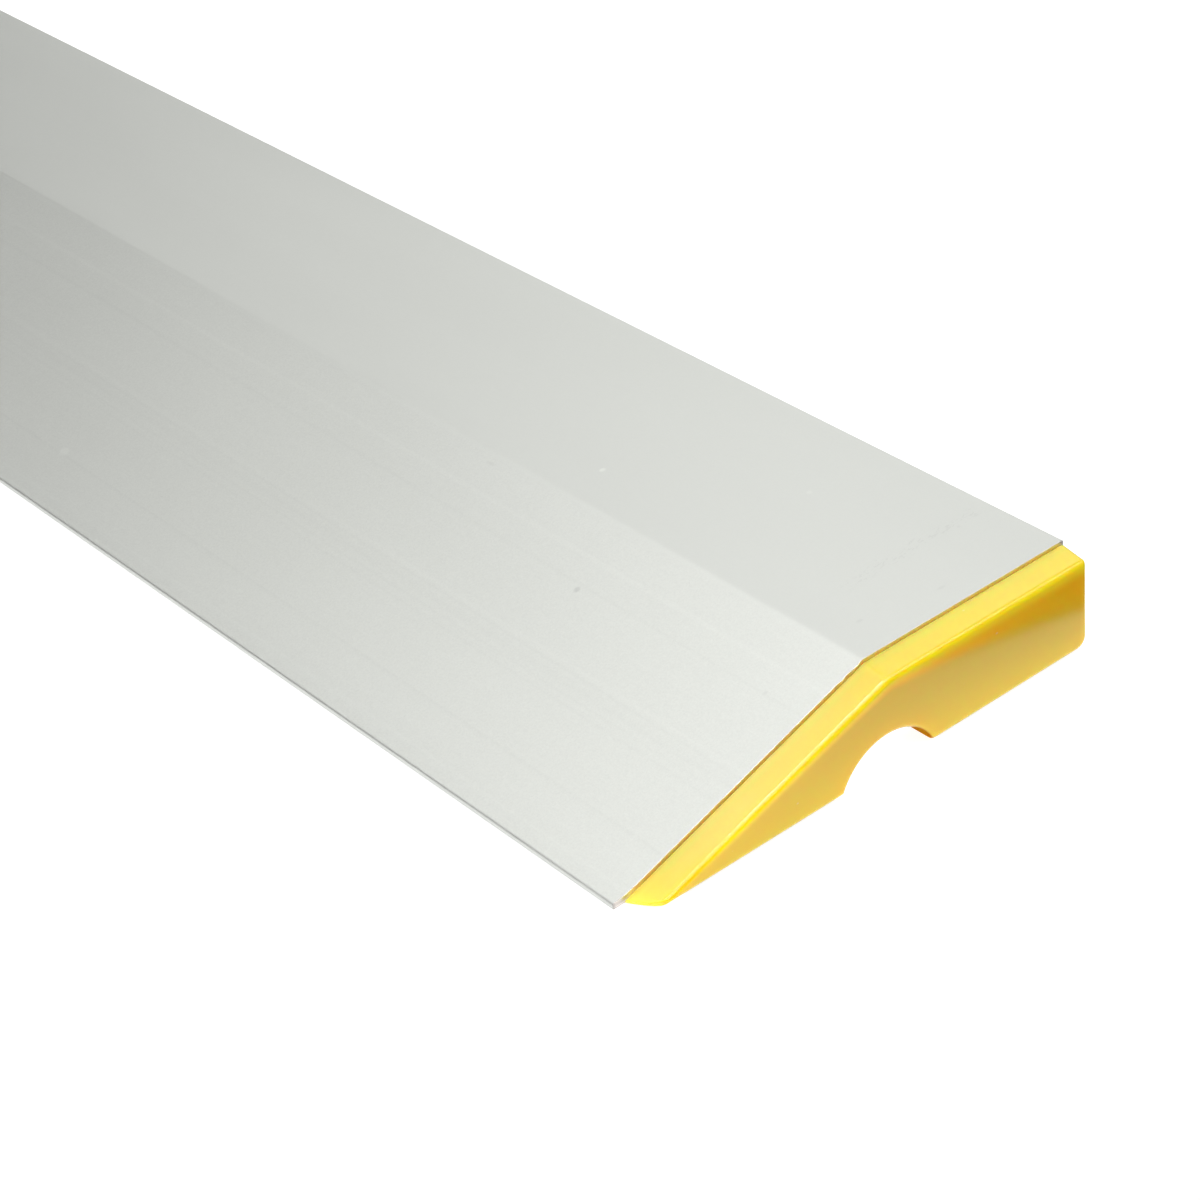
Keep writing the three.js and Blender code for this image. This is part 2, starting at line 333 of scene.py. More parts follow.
# ------------------------------------------------------------------- extrusion
def burr(w, z, side):
    """How far the saw left the edge standing out, in mm, at a place on the cut."""
    v = noise.noise(Vector((w * 0.9, z * 0.9, side * 7.3))) * 0.035
    v += noise.noise(Vector((w * 3.1, z * 3.1, side * 3.1 + 40))) * 0.02
    return v


SPLINTERS = {  # (w, width, length) of torn edges left on each cut, mm
    1: [(52.3, 0.75, 0.30), (49.4, 0.5, 0.20), (34.0, 0.3, 0.10), (71.0, 0.3, 0.08)],
    -1: [(46.0, 0.5, 0.22), (80.5, 0.4, 0.18)],
}


def extrusion():
    b = Builder()
    outer = spaced(profile_outline(), 0.9)
    normal = outward(outer)
    steps = [0.0, 0.02, 0.05, 0.2, 0.6, 2.0, 8.0, 40.0, 150.0, 350.0]
    xs = [(-HALF + s, s, -1) for s in steps] + [(0.0, 600.0, 1)]
    xs += [(HALF - s, s, 1) for s in reversed(steps)]
    rings = []
    for x, s, side in xs:
        pts = outer - normal * (0.012 if s == 0 else 0.0)
        lift = np.zeros(len(pts))
        if s < 0.6:
            fade = 1 - s / 0.6
            for i, (w, z) in enumerate(outer):
                lift[i] = burr(w, z, side) * fade
                if normal[i, 1] > 0.5 or w < 1.0:
                    for (at, wide, far) in SPLINTERS[side]:
                        lift[i] += far * max(0.0, 1 - abs(w - at) / wide) ** 0.7 * fade**3
        rings.append(b.ring(x + side * lift, pts))
    for a, c in zip(rings, rings[1:]):
        b.wall(a, c, flip=True)
    ends = {-1: [rings[0]], 1: [rings[-1]]}
    for chamber in (front_chamber, middle_chamber, rear_chamber):
        hole = spaced(chamber(), 3.0)
        hn = outward(hole)
        loops = []
        for x, s, side in [
            (-HALF, 0, -1), (-HALF + 0.12, 0.12, -1), (-HALF + 6, 6, -1), (-200, 400, -1),
            (200, 400, 1), (HALF - 6, 6, 1), (HALF - 0.12, 0.12, 1), (HALF, 0, 1),
        ]:
            flare = 0.08 if s == 0 else 0.0
            loops.append(b.ring(x, hole + hn * flare))
        for a, c in zip(loops, loops[1:]):
            b.wall(a, c)
        ends[-1].append(loops[0])
        ends[1].append(loops[-1])
    b.flat(ends[-1], Vector((-1, 0, 0)))
    b.flat(ends[1], Vector((1, 0, 0)))
    return b.finish("screed_extrusion")


# ------------------------------------------------------------------------ caps
def plan_tip(x):
    """How far behind the feather edge the cap starts, at x beyond the cut."""
    p = [
        np.array(q)
        for q in (
            (0.5, CAP_TIP),
            (2.6, CAP_TIP + 1.3),
            (FLANGE - 0.08, CAP_TIP + 2.8),
            (FLANGE, CAP_TIP + 5.5),
        )
    ]
    if x <= 0.5:
        return CAP_TIP
    lo, hi = 0.0, 1.0
    for _ in range(40):
        t = (lo + hi) / 2
        q = (
            (1 - t) ** 3 * p[0]
            + 3 * t * (1 - t) ** 2 * p[1]
            + 3 * t * t * (1 - t) * p[2]
            + t**3 * p[3]
        )
        if q[0] < x:
            lo = t
        else:
            hi = t
    return float(q[1])


def over(x, r):
    """Inset of a fillet of radius r at x beyond the cut."""
    d = x - (FLANGE - r)
    return 0.0 if d <= 0 else r - math.sqrt(max(0.0, r * r - d * d))


def cap_section(x):
    part = min(1.0, max(0.0, (x - GAP) / (FLANGE - FACE_R - GAP)))
    back = 0.12 * max(0.0, 1 - (x - GAP) / 0.15)
    top = DRAFT * part + over(x, FACE_R) + back
    spine = SPINE_DRAFT * part + over(x, SPINE_FACE_R) + back
    foot = over(x, FOOT_FACE_R) + back
    z1 = HEIGHT - RIM_INSET - top
    w1 = WIDTH - SPINE_INSET - spine
    z0 = BASE_INSET + foot
    inset = RIM_INSET + top
    tip = max(plan_tip(x), slope_at(z0 + 0.25, inset))
    ztip = slope_z(tip, inset)
    h = ztip - z0
    return rounded(
        [
            (tip, z0, min(0.12, 0.3 * h)),
            *groove_edge(CAP_GROOVE_R + foot, z0, NOTCH_LIP_FRONT, NOTCH_LIP_REAR),
            (w1, z0, CAP_FOOT_R),
            (w1, z1, CAP_SPINE_R),
            (slope_at(z1, inset), z1, RIDGE_R),
            (tip, ztip, 0.72 * h),
        ],
        14,
    )


def end_cap():
    b = Builder()
    face = HALF + FLANGE
    xs = [GAP, GAP + 0.05, GAP + 0.15, 0.9, 1.5, 2.1, 2.8, 3.5, 4.2, FLANGE - FACE_R]
    marks = set()
    for r, k in ((FACE_R, 20), (SPINE_FACE_R, 6)):
        for i in range(k + 1):
            marks.add(round(FLANGE - r + r * math.sin(math.pi / 2 * i / k), 4))
    last = xs[-1]
    for m in sorted(marks):
        if m > last + 0.02:
            xs.append(m)
            last = m
    xs[-1] = FLANGE
    rings = [b.ring(HALF + x, cap_section(x)) for x in xs]
    for a, c in zip(rings, rings[1:]):
        b.wall(a, c, flip=True)
    b.flat([rings[-1]], Vector((1, 0, 0)))
    # Tongues on the back of the flange.
    holes = [rings[0]]
    for chamber in (front_chamber, middle_chamber, rear_chamber):
        n_out = len(chamber(PLUG_CLEAR))
        out0 = chamber(PLUG_CLEAR)
        lead = chamber(PLUG_CLEAR + PLUG_LEAD)
        ins = chamber(PLUG_CLEAR + PLUG_WALL)
        x_open = HALF - PLUG
        root = b.ring(HALF + GAP, out0)
        shoulder = b.ring(x_open + PLUG_LEAD_LONG, out0)
        tipring = b.ring(x_open, lead) if len(lead) == n_out else None
        if tipring is None:
            raise RuntimeError("tongue outlines differ")
        b.wall(shoulder, root, flip=True)
        b.wall(tipring, shoulder, flip=True)
        mouth = b.ring(x_open, ins)
        bottom = b.ring(HALF - 1.0, ins)
        b.wall(mouth, bottom)
        b.flat([tipring, mouth], Vector((-1, 0, 0)))
        b.flat([bottom], Vector((-1, 0, 0)))
        holes.append(root)
    b.flat(holes, Vector((-1, 0, 0)))
    return b.finish("end_cap_moulding_right", 30.0)


# ---------------------------------------------------------------- shader helper
def material(name):
    m = bpy.data.materials.new(name)
    m.use_nodes = True
    nt = m.node_tree
    nt.nodes.clear()
    return m, nt


def add(nt, kind, **values):
    n = nt.nodes.new(kind)
    for k, v in values.items():
        if k.startswith("in_"):
            n.inputs[k[3:]].default_value = v
        else:
            setattr(n, k, v)
    return n


class Graph:
    """Short forms for building a node graph."""

    def __init__(self, nt):
        self.nt = nt
        tc = add(nt, "ShaderNodeTexCoord")
        mm = add(nt, "ShaderNodeVectorMath", operation="SCALE")
        nt.links.new(tc.outputs["Object"], mm.inputs[0])
        mm.inputs["Scale"].default_value = 1000.0
        self.mm = mm.outputs["Vector"]
        sep = add(nt, "ShaderNodeSeparateXYZ")
        nt.links.new(self.mm, sep.inputs[0])
        self.x, self.y, self.z = sep.outputs
        self.w = self.math("ADD", self.y, WIDTH / 2)

    def put(self, value, socket):
        if hasattr(value, "is_output"):
            self.nt.links.new(value, socket)
        else:
            socket.default_value = value

    def math(self, op, a, b=0.0, c=0.0, clamp=False):
        n = add(self.nt, "ShaderNodeMath", operation=op, use_clamp=clamp)
        self.put(a, n.inputs[0])
        self.put(b, n.inputs[1])
        if op in ("MULTIPLY_ADD", "COMPARE", "SMOOTH_MIN"):
            self.put(c, n.inputs[2])
        return n.outputs[0]

    def mul(self, a, b):
        return self.math("MULTIPLY", a, b)

    def total(self, *terms):
        out = terms[0]
        for t in terms[1:]:
            out = self.math("ADD", out, t)
        return out

    def step(self, value, lo, hi):
        """Smooth rise from 0 at lo to 1 at hi, or a fall when lo is above hi."""
        n = add(self.nt, "ShaderNodeMapRange", interpolation_type="SMOOTHSTEP")
        self.put(value, n.inputs["Value"])
        if lo < hi:
            n.inputs["From Min"].default_value, n.inputs["From Max"].default_value = lo, hi
        else:
            n.inputs["From Min"].default_value, n.inputs["From Max"].default_value = hi, lo
            n.inputs["To Min"].default_value, n.inputs["To Max"].default_value = 1.0, 0.0
        return n.outputs[0]

    def vector(self, x, y, z):
        n = add(self.nt, "ShaderNodeCombineXYZ")
        for v, i in zip((x, y, z), n.inputs):
            self.put(v, i)
        return n.outputs[0]

    def noise(self, vec, scale, detail=2.0, rough=0.5, shift=0.0, distort=0.0):
        """Noise about zero, in the range -0.5 to 0.5 or so."""
        n = add(self.nt, "ShaderNodeTexNoise", noise_dimensions="4D")
        self.put(vec, n.inputs["Vector"])
        n.inputs["W"].default_value = shift
        n.inputs["Scale"].default_value = scale
        n.inputs["Detail"].default_value = detail
        n.inputs["Roughness"].default_value = rough
        n.inputs["Distortion"].default_value = distort
        return self.math("SUBTRACT", n.outputs["Fac"], 0.5)

    def across(self, value, stops, span):
        """A profile over value, from (position, level) pairs; 0.5 is no change."""
        ramp = add(self.nt, "ShaderNodeValToRGB")
        ramp.color_ramp.interpolation = "EASE"
        els = ramp.color_ramp.elements
        stops = sorted(stops)
        while len(els) < len(stops):
            els.new(0.5)
        for e, (at, level) in zip(els, stops):
            e.position = at / span
            e.color = (level, level, level, 1)
        self.put(self.mul(value, 1.0 / span), ramp.inputs["Fac"])
        return self.math("SUBTRACT", ramp.outputs["Color"], 0.5)

    def spot(self, x, w, z, rx, rw, rz):
        """1 inside a small ellipsoid about a place given in mm, 0 outside it."""
        d = self.vector(
            self.mul(self.math("SUBTRACT", self.x, x), 1 / rx),
            self.mul(self.math("SUBTRACT", self.w, w), 1 / rw),
            self.mul(self.math("SUBTRACT", self.z, z), 1 / rz),
        )
        n = add(self.nt, "ShaderNodeVectorMath", operation="LENGTH")
        self.nt.links.new(d, n.inputs[0])
        return self.step(n.outputs["Value"], 1.0, 0.35)

    def tint(self, colour, change):
        """colour times 1 + change."""
        n = add(self.nt, "ShaderNodeVectorMath", operation="SCALE")
        self.put(colour, n.inputs[0])
        self.put(self.math("ADD", change, 1.0), n.inputs["Scale"])
        return n.outputs["Vector"]

    def blend(self, fac, a, b):
        n = add(self.nt, "ShaderNodeMix", data_type="RGBA", clamp_factor=True)
        self.put(fac, n.inputs[0])
        self.put(a, n.inputs[6])
        self.put(b, n.inputs[7])
        return n.outputs[2]

    def bump(self, height, strength, distance, normal=None):
        n = add(self.nt, "ShaderNodeBump")
        n.inputs["Strength"].default_value = strength
        n.inputs["Distance"].default_value = distance
        self.put(height, n.inputs["Height"])
        if normal is not None:
            self.nt.links.new(normal, n.inputs["Normal"])
        return n.outputs["Normal"]


# Lines left by the die on the slope: (w, half width, change of brightness).
DIE_LINES = [
    (3.1, 0.5, 0.018), (10.8, 0.35, -0.038), (22.3, 0.3, -0.018), (24.05, 0.4, -0.042),
    (25.6, 1.4, -0.014), (27.4, 0.3, -0.022), (28.35, 0.5, 0.018), (40.9, 0.4, -0.026),
    (43.2, 0.25, -0.012), (45.9, 0.5, 0.024), (52.8, 0.5, -0.040),
]
# Marks on the upper faces: (x, w, size along x, across, change of brightness).
MARKS = [
    (545.4, 39.9, 0.75, 0.85, -0.13), (590.8, 41.2, 0.5, 0.7, -0.05),
    (525.6, 62.8, 0.65, 0.9, 0.10), (558.0, 82.0, 0.7, 0.8, 0.04),
    (595.0, 76.6, 0.5, 1.2, -0.04), (592.0, 61.0, 0.5, 1.0, -0.04),
    (424.0, 11.5, 1.6, 1.4, 0.05), (508.0, 51.6, 1.6, 0.5, -0.04),
    (-210.0, 31.0, 0.8, 0.9, -0.10), (-420.0, 72.0, 0.7, 1.4, 0.07), (130.0, 88.0, 0.6, 1.1, -0.05),
]


def aluminium():
    m, nt = material("mill_aluminium")
    g = Graph(nt)
    out = add(nt, "ShaderNodeOutputMaterial")
    p = add(nt, "ShaderNodeBsdfPrincipled")
    end = g.math("ABSOLUTE", g.x)
    sawn = g.step(end, HALF - 0.12, HALF - 0.05)
    upper = g.step(g.z, 0.6, 1.2)
    slope = g.mul(g.step(g.w, 54.6, 52.2), upper)
    flat = g.mul(g.step(g.w, 53.4, 55.0), g.step(g.z, HEIGHT - 0.9, HEIGHT - 0.4))

    # Lines along the extrusion, wandering a little and fading in and out.
    wander = g.mul(g.noise(g.vector(g.mul(g.x, 0.02), 0.0, 0.0), 1.0, 2.0, shift=3.1), 0.35)
    stops = [(0.0, 0.5), (56.0, 0.5)]
    for at, wide, level in DIE_LINES:
        if wide > 1:
            stops += [(at - wide, 0.5), (at, 0.5 + level * 8)]
            continue
        stops += [(at - wide, 0.5), (at, 0.5 + level * 8), (at + wide, 0.5)]
    drawn = g.across(g.math("ADD", g.w, wander), sorted(stops)[:31], 100.0)
    fade = g.math("ADD", g.noise(g.vector(g.mul(g.x, 0.03), g.w, 0.0), 0.9, 2.0, shift=8.0), 0.85)
    drawn = g.mul(g.mul(drawn, slope), g.mul(fade, 1.0 / 8))
    side = g.math("ADD", g.w, g.z)
    long1 = g.noise(g.vector(g.mul(g.x, 0.006), g.mul(side, 1.9), 0.0), 1.0, 3.0, 0.65, 1.0)
    long2 = g.noise(g.vector(g.mul(g.x, 0.03), g.mul(side, 6.5), 0.0), 1.0, 2.0, 0.5, 5.0)
    lines = g.total(g.mul(long1, 0.026), g.mul(long2, 0.016))
    lines = g.mul(lines, g.math("SUBTRACT", 1.0, g.mul(flat, 0.55)))

    # Grain of the surface, coarser on the slope, and broad clouding.
    grain = g.noise(g.mm, 2.6, 2.0, 0.55, 2.0)
    fine = g.noise(g.mm, 7.0, 1.0, 0.5, 9.0)
    rough_grain = g.total(
        g.mul(grain, g.math("ADD", g.mul(slope, 0.095), 0.035)),
        g.mul(fine, g.math("ADD", g.mul(slope, 0.080), 0.030)),
    )
    cloud = g.mul(g.noise(g.vector(g.mul(g.x, 0.3), g.w, g.z), 0.045, 3.0, 0.55, 4.0), 0.022)

    # Short marks in a band across the flat top beside the right end.
    off = g.math("ADD", g.x, -583.4)
    off = g.math("ADD", off, g.mul(g.noise(g.vector(0.0, g.w, 0.0), 0.25, 2.0, shift=6.0), 4.0))
    band = g.mul(g.step(g.math("ABSOLUTE", off), 1.9, 0.4), g.mul(g.step(g.w, 63, 68), g.step(g.w, 98, 96)))
    chips = g.step(
        g.noise(g.vector(g.mul(g.x, 1.5), g.total(g.mul(g.w, 0.75), g.mul(g.x, 0.6)), 0.0), 1.4, 2.0, 0.6, 11.0),
        0.03, 0.12,
    )
    scuff = g.mul(g.mul(band, chips), flat)
    # Sparse handling scratches everywhere.
    wild = g.noise(g.mm, 0.06, 2.0, 0.5, 13.0)
    turned = g.vector(
        g.total(g.mul(g.x, 0.35), g.mul(g.w, 0.9), g.mul(wild, 9.0)),
        g.total(g.mul(g.x, 0.05), g.mul(g.w, -0.02)),
        g.mul(g.z, 0.05),
    )
    scratch = g.mul(
        g.step(g.noise(turned, 2.2, 1.0, 0.4, 15.0), 0.245, 0.275),
        g.step(g.noise(g.mm, 0.09, 1.0, 0.5, 17.0), 0.09, 0.17),
    )

    change = g.total(
        drawn, lines, rough_grain, cloud, g.mul(scuff, -0.045), g.mul(scratch, -0.035)
    )
    for x, w, rx, rw, level in MARKS:
        z = HEIGHT if w > RIDGE_W else slope_z(w)
        change = g.math("ADD", change, g.mul(g.spot(x, w, z, rx, rw, 1.2), level))
    base = g.tint((0.858, 0.875, 0.831), change)
    # The spine and the underside are given a darker base colour than the upper faces.
    hidden = g.math("MAXIMUM", g.step(g.w, 99.86, 99.96), g.step(g.z, 0.08, 0.02))
    base = g.blend(g.mul(hidden, 0.8), base, g.tint((0.66, 0.67, 0.65), change))
    # Painted shadow: a dark spot in the spine corner of the right cut, for the shade of the gap beside the cap.
    base = g.blend(g.mul(g.spot(600.0, 99.9, 18.3, 0.45, 0.9, 0.7), 0.85), base, (0.10, 0.07, 0.07, 1))
    # Saw marks on the cut ends.
    kerf = g.noise(g.vector(g.mul(g.w, 0.25), g.mul(g.z, 5.0), 0.0), 1.0, 3.0, 0.6, 21.0, 0.3)
    cut = g.tint((0.86, 0.86, 0.82), g.mul(kerf, 0.4))
    cut = g.blend(g.step(g.w, 3.6, 2.2), cut, g.tint((0.62, 0.58, 0.55), g.mul(kerf, 1.2)))
    base = g.blend(sawn, base, cut)
    # Painted shade: the narrow front of the feather edge is darkened in mottled patches, standing in for the
    # shaded floor it would reflect.
    toe = g.mul(g.step(g.w, 0.7, 0.15), g.step(g.z, 1.2, 0.85))
    wall = g.step(g.z, 0.95, 0.75)
    painted_toe_shade = g.total(
        0.38,
        g.mul(wall, g.math("MULTIPLY_ADD", g.step(g.x, 180.0, 560.0), -0.15, 0.12)),
        g.mul(g.noise(g.vector(g.mul(g.x, 0.15), 0.0, g.mul(g.z, 2.0)), 1.0, 3.0, 0.6, 27.0), 0.25),
    )
    base = g.blend(g.mul(toe, painted_toe_shade), base, (0.12, 0.125, 0.125, 1))
    # Patchy darkening low down, in the groove and along the foot.
    low = g.mul(g.step(g.z, 0.5, 0.12), g.step(g.noise(g.mm, 0.5, 3.0, 0.6, 23.0), 0.0, 0.25))
    base = g.blend(g.mul(low, 0.18), base, (0.42, 0.40, 0.36, 1))
    g.put(base, p.inputs["Base Color"])
    p.inputs["Metallic"].default_value = 1.0
    g.put(
        g.total(
            0.48,
            g.mul(grain, 0.05),
            g.mul(long1, 0.05),
            g.mul(cloud, 1.2),
            g.mul(scratch, -0.05),
            g.mul(sawn, -0.06),
        ),
        p.inputs["Roughness"],
    )
    relief = g.total(
        g.mul(grain, g.math("ADD", g.mul(slope, 0.5), 0.25)),
        g.mul(long1, 0.25),
        g.mul(drawn, 6.0),
        g.mul(scratch, -0.4),
        g.mul(scuff, -0.4),
        g.mul(g.mul(kerf, sawn), 4.0),
    )
    g.put(g.bump(relief, 0.22, 0.00002), p.inputs["Normal"])
    nt.links.new(p.outputs["BSDF"], out.inputs["Surface"])
    return m


# Specks, nicks and painted glints on the caps: (x, w, z, size, change towards white); the two on the edge near
# the tip are painted glints.
SPECKS_AND_GLINTS = [
    (605.8, 78.2, 13.9, 0.24, 0.25), (605.3, 44.0, 12.9, 0.34, 0.6),
    (604.95, 14.9, 4.0, 0.32, 0.7), (604.7, 4.0, 1.6, 0.34, 0.7),
    (605.8, 33.5, 4.6, 0.2, 0.12), (601.6, 75.0, 18.1, 0.22, 0.15),
]


def yellow():
    m, nt = material("yellow_plastic")
    g = Graph(nt)
    out = add(nt, "ShaderNodeOutputMaterial")
    p = add(nt, "ShaderNodeBsdfPrincipled")
    broad = g.noise(g.mm, 0.07, 3.0, 0.5, 1.0)
    flow = g.noise(
        g.vector(g.mul(g.x, 0.25), g.mul(g.w, 0.05), g.mul(g.z, 0.22)), 1.0, 3.0, 0.6, 4.0, 0.6
    )
    peel = g.noise(g.mm, 0.9, 2.0, 0.5, 7.0)
    fine = g.noise(g.mm, 5.0, 2.0, 0.6, 9.0)
    change = g.total(g.mul(broad, 0.03), g.mul(flow, 0.025), g.mul(fine, 0.02))
    base = g.tint(PLASTIC, change)
    # The outer face is a little rougher than the rim and gets a deeper, more orange copy of the plastic colour,
    # painted shade for the less lit face.
    # The corner between them is painted lighter, painted light standing in for light passing through the
    # plastic.
    face = g.step(g.math("ABSOLUTE", g.x), HALF + FLANGE - 1.0, HALF + FLANGE - 0.3)
    base = g.blend(face, base, g.tint((0.77, 0.525, 0.008), change))
    line = g.math("MULTIPLY_ADD", g.w, GRADE, slope_z(0.0, RIM_INSET))
    depth = g.math(
        "MINIMUM",
        g.math("SUBTRACT", HEIGHT - RIM_INSET, g.z),
        g.mul(g.math("SUBTRACT", line, g.z), math.cos(TILT)),
    )
    near = g.step(g.math("ABSOLUTE", g.x), HALF + FLANGE - 1.0, HALF + FLANGE - 0.6)
    reach = g.math("MULTIPLY_ADD", g.math("POWER", g.mul(g.w, 1 / 94), 2.5), 7.3, 1.4)
    # Painted light: an orange band a little way down the face, standing in for light carried through the
    # plastic.
    painted_deep_glow = g.mul(
        g.mul(g.step(depth, 0.6, 1.4), g.step(g.math("DIVIDE", depth, reach), 1.1, 0.6)),
        g.mul(near, g.step(g.w, 8.0, 20.0)),
    )
    base = g.blend(g.mul(painted_deep_glow, 0.95), base, (1.0, 0.55, 0.005, 1))
    # Painted light: a yellow band just under the edge, standing in for light carried through the plastic.
    spread = g.math("MULTIPLY_ADD", g.math("POWER", g.mul(g.w, 1 / 94), 0.7), 2.5, 1.4)
    painted_edge_glow = g.mul(
        g.mul(g.step(depth, 0.5, 1.2), g.step(g.math("DIVIDE", depth, spread), 1.05, 0.4)),
        g.mul(near, g.step(g.w, 8.0, 20.0)),
    )
    base = g.blend(g.mul(painted_edge_glow, 0.9), base, (1.0, 0.75, 0.02, 1))
    # Painted shade: the rim over the slope is a little deeper in colour.
    sloped = g.mul(g.step(g.w, 56.0, 52.0), g.step(g.w, 8.0, 16.0))
    base = g.blend(
        g.mul(sloped, g.math("SUBTRACT", 1.0, near)), base, g.tint((0.745, 0.552, 0.043), change)
    )
    # Painted highlight: a pale line along the edge over the slope.
    painted_edge_highlight = g.mul(
        g.mul(
            g.step(g.math("ABSOLUTE", g.math("SUBTRACT", g.math("ABSOLUTE", g.x), HALF + 5.2)), 0.3, 0.1),
            g.step(depth, 0.6, 0.35),
        ),
        g.mul(g.step(g.w, 53.5, 49.0), g.step(g.w, 7.0, 10.0)),
    )
    base = g.blend(g.mul(painted_edge_highlight, 0.45), base, (1.0, 0.92, 0.58, 1))
    # Painted light: a lighter yellow band high on the spine side.
    side = g.mul(g.step(g.w, 98.8, 99.5), g.step(g.z, 17.0, 15.0))
    base = g.blend(g.mul(side, 0.7), base, (0.80, 0.68, 0.03, 1))
    inner = g.step(g.math("ABSOLUTE", g.x), HALF + 1.5, HALF + 0.2)
    base = g.blend(g.mul(inner, 0.85), base, (1.0, 0.54, 0.05, 1))
    # Fine rubbing marks.
    rub = g.mul(
        g.step(
            g.noise(
                g.vector(g.mul(g.x, 0.3), g.total(g.mul(g.w, 0.8), g.mul(g.z, 0.5)), g.mul(g.z, 2.4)),
                1.1, 2.0, 0.5, 13.0,
            ),
            0.2, 0.26,
        ),
        g.step(g.noise(g.mm, 0.16, 1.0, 0.5, 15.0), 0.02, 0.14),
    )
    base = g.blend(g.mul(rub, 0.06), base, (0.95, 0.85, 0.45, 1))
    # Painted shade: patchy olive darkening in the corner where the rim meets the metal.
    painted_corner_shade = g.mul(
        g.step(g.math("ABSOLUTE", g.x), HALF + 1.0, HALF + 0.35),
        g.step(g.noise(g.mm, 0.8, 3.0, 0.6, 19.0), 0.0, 0.2),
    )
    base = g.blend(g.mul(painted_corner_shade, 0.2), base, (0.50, 0.42, 0.12, 1))
    # Painted highlight: a soft pale patch on the rim above the tip.
    painted_soft_highlight = g.mul(g.spot(603.0, 19.0, 6.5, 3.2, 13.0, 9.0), g.math("SUBTRACT", 1.0, near))
    base = g.blend(g.mul(painted_soft_highlight, 0.06), base, (0.85, 0.78, 0.36, 1))
    # Painted shadow: the rear wall of the notch is darkened and loses most of its reflection, as shade in the
    # recess.
    radial = add(nt, "ShaderNodeVectorMath", operation="LENGTH")
    nt.links.new(
        g.vector(0.0, g.math("SUBTRACT", g.w, GROOVE_W), g.math("SUBTRACT", g.z, GROOVE_Z)),
        radial.inputs[0],
    )
    painted_notch_shadow = g.mul(
        g.mul(g.step(radial.outputs["Value"], 11.6, 11.2), g.step(g.w, 57.5, 59.5)),
        g.mul(
            g.step(g.z, 6.2, 5.4),
            g.step(g.math("ABSOLUTE", g.x), HALF + FLANGE - 0.08, HALF + FLANGE - 0.4),
        ),
    )
    base = g.blend(g.mul(painted_notch_shadow, 0.95), base, (0.30, 0.10, 0.001, 1))
    # Pale specks, and painted glints on the edge near the tip.
    for x, w, z, r, level in SPECKS_AND_GLINTS:
        base = g.blend(g.mul(g.spot(x, w, z, r, r * 1.6, r), level), base, (1.0, 0.97, 0.82, 1))
    g.put(base, p.inputs["Base Color"])
    g.put(
        g.total(0.15, g.mul(broad, 0.05), g.mul(fine, 0.05), g.mul(rub, 0.12), g.mul(face, 0.03)),
        p.inputs["Roughness"],
    )
    p.inputs["IOR"].default_value = 1.5
    # The painted shadow in the notch also turns its reflection down.
    g.put(g.math("MULTIPLY_ADD", painted_notch_shadow, -0.5, 0.5), p.inputs["Specular IOR Level"])
    p.inputs["Subsurface Weight"].default_value = 1.0
    p.inputs["Subsurface Radius"].default_value = (1.0, 0.5, 0.09)
    p.inputs["Subsurface Scale"].default_value = 0.006
    n1 = g.bump(peel, 0.12, 0.00004)
    g.put(g.bump(g.total(fine, g.mul(rub, -1.0)), 0.06, 0.00002, n1), p.inputs["Normal"])
    nt.links.new(p.outputs["BSDF"], out.inputs["Surface"])
    return m


# --------------------------------------------------------------------- objects
bar = extrusion()
bar.data.materials.append(aluminium())
cap_r = end_cap()
cap_r.data.materials.append(yellow())
cap_l = flipped(cap_r, "end_cap_moulding_left")

for piece, node, body, slot in (
    (bar, "screed_profile", "profile", "mill_aluminium"),
    (cap_r, "end_cap_right", "right_cap", "yellow_plastic"),
    (cap_l, "end_cap_left", "left_cap", "yellow_plastic"),
):
    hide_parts(node)
    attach(piece, body)

# ----------------------------------------------------------------------- stage
scene = bpy.context.scene
scene.view_settings.view_transform = "Standard"
scene.view_settings.look = "None"

# A white table whose edge passes a little beyond the right end.
floor_mesh = bpy.data.meshes.new("floor")
edge_at = Vector((0.6197, 0.0344, 0.0))
edge_dir = Vector((-0.247, 0.969, 0.0)).normalized()
edge_out = Vector((0.969, 0.247, 0.0)).normalized()
table = []
for height in (-0.0003, -1.5):
    for along, back in ((-6.0, 12.0), (-6.0, 0.0), (6.0, 0.0), (6.0, 12.0)):
        corner = edge_at + edge_dir * along - edge_out * back
        table.append((corner.x, corner.y, height))
floor_mesh.from_pydata(
    table,
    [],
    [(0, 1, 2, 3), (7, 6, 5, 4), (1, 0, 4, 5), (2, 1, 5, 6), (3, 2, 6, 7), (0, 3, 7, 4)],
)
floor = bpy.data.objects.new("floor", floor_mesh)
scene.collection.objects.link(floor)
fm, fnt = material("floor_white")
fo = add(fnt, "ShaderNodeOutputMaterial")
fp = add(fnt, "ShaderNodeBsdfPrincipled")
fp.inputs["Base Color"].default_value = (0.35, 0.35, 0.35, 1)
fp.inputs["Roughness"].default_value = 0.9
fp.inputs["Specular IOR Level"].default_value = 0.0
fp.inputs["Emission Color"].default_value = (1, 1, 1, 1)
fp.inputs["Emission Strength"].default_value = 0.9
